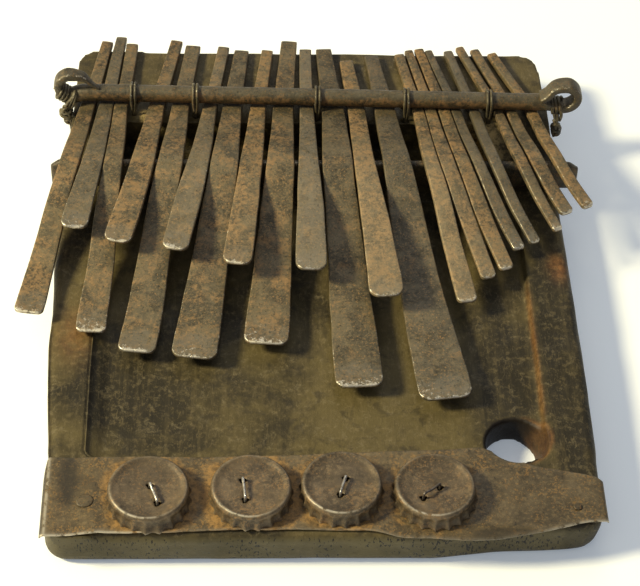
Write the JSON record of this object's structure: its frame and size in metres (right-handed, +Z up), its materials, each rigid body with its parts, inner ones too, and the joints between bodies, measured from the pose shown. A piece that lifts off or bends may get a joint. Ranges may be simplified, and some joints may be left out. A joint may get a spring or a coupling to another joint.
{
  "type": "mbira",
  "caption": "Thumb piano: hand-forged iron keys clamped over a metal bridge by a tied pressure bar on a carved hardwood board with a finger hole, tin plate and crown-cap buzzers.",
  "frame": {"origin": "centre of the board's flat underside", "axes": "+Z up out of the board, +Y away from the player towards the keys' rear ends, +X to the player's right"},
  "size_m": [0.2111, 0.2419, 0.038],
  "materials": {
    "board_wood": "dark, worn and oiled hardwood",
    "key_iron": "hammered iron with brown patina and rust",
    "bar_iron": "forged rod with dull brown patina",
    "bridge_iron": "worn iron strip",
    "tin_sheet": "rust-stained tin sheet with worn bright edges",
    "cap_tin": "bare crimped tin, dull brown with rust",
    "staple_wire": "bright steel wire",
    "tie_wire": "dull soft iron wire",
    "nail_iron": "dull iron nail heads"
  },
  "bodies": {
    "frame": {"soundboard": "board_wood", "bridge": "bridge_iron", "pressure_bar": "bar_iron", "bass_key_1_shank": "key_iron", "upper_key_1_shank": "key_iron", "bass_key_2_shank": "key_iron", "upper_key_2_shank": "key_iron", "bass_key_3_shank": "key_iron", "upper_key_3_shank": "key_iron", "bass_key_4_shank": "key_iron", "upper_key_4_shank": "key_iron", "bass_key_5_shank": "key_iron", "upper_key_5_shank": "key_iron", "bass_key_6_shank": "key_iron", "upper_key_6_shank": "key_iron", "bass_key_7_shank": "key_iron", "right_key_1_shank": "key_iron", "right_key_2_shank": "key_iron", "right_key_3_shank": "key_iron", "right_key_4_shank": "key_iron", "right_key_5_shank": "key_iron", "right_key_6_shank": "key_iron", "right_key_7_shank": "key_iron", "right_key_8_shank": "key_iron", "tie_wire_1": "tie_wire", "tie_wire_2": "tie_wire", "tie_wire_3": "tie_wire", "tie_wire_4": "tie_wire", "tie_wire_5": "tie_wire", "left_eye_binding": "tie_wire", "right_eye_binding": "tie_wire", "face_plate": "tin_sheet", "cap_staples": "staple_wire", "plate_nails": "nail_iron"},
    "bass_key_1": {"bass_key_1": "key_iron"},
    "upper_key_1": {"upper_key_1": "key_iron"},
    "bass_key_2": {"bass_key_2": "key_iron"},
    "upper_key_2": {"upper_key_2": "key_iron"},
    "bass_key_3": {"bass_key_3": "key_iron"},
    "upper_key_3": {"upper_key_3": "key_iron"},
    "bass_key_4": {"bass_key_4": "key_iron"},
    "upper_key_4": {"upper_key_4": "key_iron"},
    "bass_key_5": {"bass_key_5": "key_iron"},
    "upper_key_5": {"upper_key_5": "key_iron"},
    "bass_key_6": {"bass_key_6": "key_iron"},
    "upper_key_6": {"upper_key_6": "key_iron"},
    "bass_key_7": {"bass_key_7": "key_iron"},
    "right_key_1": {"right_key_1": "key_iron"},
    "right_key_2": {"right_key_2": "key_iron"},
    "right_key_3": {"right_key_3": "key_iron"},
    "right_key_4": {"right_key_4": "key_iron"},
    "right_key_5": {"right_key_5": "key_iron"},
    "right_key_6": {"right_key_6": "key_iron"},
    "right_key_7": {"right_key_7": "key_iron"},
    "right_key_8": {"right_key_8": "key_iron"},
    "crown_cap_1": {"crown_cap_1": "cap_tin"},
    "crown_cap_2": {"crown_cap_2": "cap_tin"},
    "crown_cap_3": {"crown_cap_3": "cap_tin"},
    "crown_cap_4": {"crown_cap_4": "cap_tin"}
  },
  "joints": [
    {"name": "bass_key_1_flex", "type": "hinge", "parent": "frame", "child": "bass_key_1", "pos_m": [-0.09355, 0.0384, 0.02685], "axis": [0.9774, -0.2116, 0], "range_deg": [-2.5, 2.5], "stiffness_Nm_per_rad": 37},
    {"name": "upper_key_1_flex", "type": "hinge", "parent": "frame", "child": "upper_key_1", "pos_m": [-0.08405, 0.0414, 0.0282], "axis": [0.985, -0.1726, 0], "range_deg": [-2.5, 2.5], "stiffness_Nm_per_rad": 36},
    {"name": "bass_key_2_flex", "type": "hinge", "parent": "frame", "child": "bass_key_2", "pos_m": [-0.07628, 0.0384, 0.02655], "axis": [0.9952, -0.0975, 0], "range_deg": [-2.5, 1.5], "stiffness_Nm_per_rad": 34},
    {"name": "upper_key_2_flex", "type": "hinge", "parent": "frame", "child": "upper_key_2", "pos_m": [-0.06571, 0.0414, 0.0282], "axis": [0.9832, -0.1825, 0], "range_deg": [-2.5, 2.5], "stiffness_Nm_per_rad": 61},
    {"name": "bass_key_3_flex", "type": "hinge", "parent": "frame", "child": "bass_key_3", "pos_m": [-0.05579, 0.0384, 0.0264], "axis": [0.9883, -0.1528, 0], "range_deg": [-2.5, 2.5], "stiffness_Nm_per_rad": 41},
    {"name": "upper_key_3_flex", "type": "hinge", "parent": "frame", "child": "upper_key_3", "pos_m": [-0.04505, 0.0414, 0.0282], "axis": [0.985, -0.1726, 0], "range_deg": [-2.5, 2.5], "stiffness_Nm_per_rad": 53},
    {"name": "bass_key_4_flex", "type": "hinge", "parent": "frame", "child": "bass_key_4", "pos_m": [-0.03547, 0.0384, 0.0264], "axis": [0.9942, -0.1076, 0], "range_deg": [-2.5, 2.5], "stiffness_Nm_per_rad": 47},
    {"name": "upper_key_4_flex", "type": "hinge", "parent": "frame", "child": "upper_key_4", "pos_m": [-0.02492, 0.0414, 0.0282], "axis": [0.9947, -0.1025, 0], "range_deg": [-2.5, 2.5], "stiffness_Nm_per_rad": 54},
    {"name": "bass_key_5_flex", "type": "hinge", "parent": "frame", "child": "bass_key_5", "pos_m": [-0.01409, 0.0384, 0.0264], "axis": [0.9962, -0.0873, 0], "range_deg": [-2.5, 2.5], "stiffness_Nm_per_rad": 48},
    {"name": "upper_key_5_flex", "type": "hinge", "parent": "frame", "child": "upper_key_5", "pos_m": [-0.00307, 0.0414, 0.0282], "axis": [1, 0.0051, 0], "range_deg": [-2.5, 2.5], "stiffness_Nm_per_rad": 52},
    {"name": "bass_key_6_flex", "type": "hinge", "parent": "frame", "child": "bass_key_6", "pos_m": [0.00801, 0.0384, 0.0264], "axis": [0.9984, 0.0566, 0], "range_deg": [-2.5, 2.5], "stiffness_Nm_per_rad": 47},
    {"name": "upper_key_6_flex", "type": "hinge", "parent": "frame", "child": "upper_key_6", "pos_m": [0.01788, 0.0414, 0.0282], "axis": [0.9936, 0.1127, 0], "range_deg": [-2.5, 2.5], "stiffness_Nm_per_rad": 49},
    {"name": "bass_key_7_flex", "type": "hinge", "parent": "frame", "child": "bass_key_7", "pos_m": [0.03051, 0.0384, 0.02644], "axis": [0.9911, 0.1328, 0], "range_deg": [-2.5, 2.5], "stiffness_Nm_per_rad": 46},
    {"name": "right_key_1_flex", "type": "hinge", "parent": "frame", "child": "right_key_1", "pos_m": [0.04321, 0.0414, 0.0283], "axis": [0.9804, 0.1971, 0], "range_deg": [-2.5, 2.5], "stiffness_Nm_per_rad": 46},
    {"name": "right_key_2_flex", "type": "hinge", "parent": "frame", "child": "right_key_2", "pos_m": [0.04938, 0.0414, 0.0283], "axis": [0.9671, 0.2542, 0], "range_deg": [-2.5, 2.5], "stiffness_Nm_per_rad": 46},
    {"name": "right_key_3_flex", "type": "hinge", "parent": "frame", "child": "right_key_3", "pos_m": [0.05549, 0.0414, 0.0283], "axis": [0.9581, 0.2864, 0], "range_deg": [-2.5, 2.5], "stiffness_Nm_per_rad": 45},
    {"name": "right_key_4_flex", "type": "hinge", "parent": "frame", "child": "right_key_4", "pos_m": [0.06124, 0.0414, 0.0283], "axis": [0.9467, 0.3221, 0], "range_deg": [-2.5, 2.5], "stiffness_Nm_per_rad": 33},
    {"name": "right_key_5_flex", "type": "hinge", "parent": "frame", "child": "right_key_5", "pos_m": [0.06793, 0.0414, 0.0283], "axis": [0.9422, 0.3351, 0], "range_deg": [-2.5, 2.5], "stiffness_Nm_per_rad": 24},
    {"name": "right_key_6_flex", "type": "hinge", "parent": "frame", "child": "right_key_6", "pos_m": [0.07825, 0.0414, 0.0283], "axis": [0.9313, 0.3642, 0], "range_deg": [-2.5, 2.5], "stiffness_Nm_per_rad": 13},
    {"name": "right_key_7_flex", "type": "hinge", "parent": "frame", "child": "right_key_7", "pos_m": [0.08427, 0.0414, 0.02563], "axis": [0.908, 0.4191, 0], "range_deg": [-2.5, 2.5], "stiffness_Nm_per_rad": 6.4},
    {"name": "right_key_8_flex", "type": "hinge", "parent": "frame", "child": "right_key_8", "pos_m": [0.09275, 0.0414, 0.02598], "axis": [0.8857, 0.4643, 0], "range_deg": [-2.5, 2.5], "stiffness_Nm_per_rad": 3.5},
    {"name": "crown_cap_1_rattle", "type": "slide", "parent": "frame", "child": "crown_cap_1", "axis": [0, 0, 1], "range_m": [0, 0.0008]},
    {"name": "crown_cap_2_rattle", "type": "slide", "parent": "frame", "child": "crown_cap_2", "axis": [0, 0, 1], "range_m": [0, 0.0008]},
    {"name": "crown_cap_3_rattle", "type": "slide", "parent": "frame", "child": "crown_cap_3", "axis": [0, 0, 1], "range_m": [0, 0.0008]},
    {"name": "crown_cap_4_rattle", "type": "slide", "parent": "frame", "child": "crown_cap_4", "axis": [0, 0, 1], "range_m": [0, 0.0008]}
  ]
}
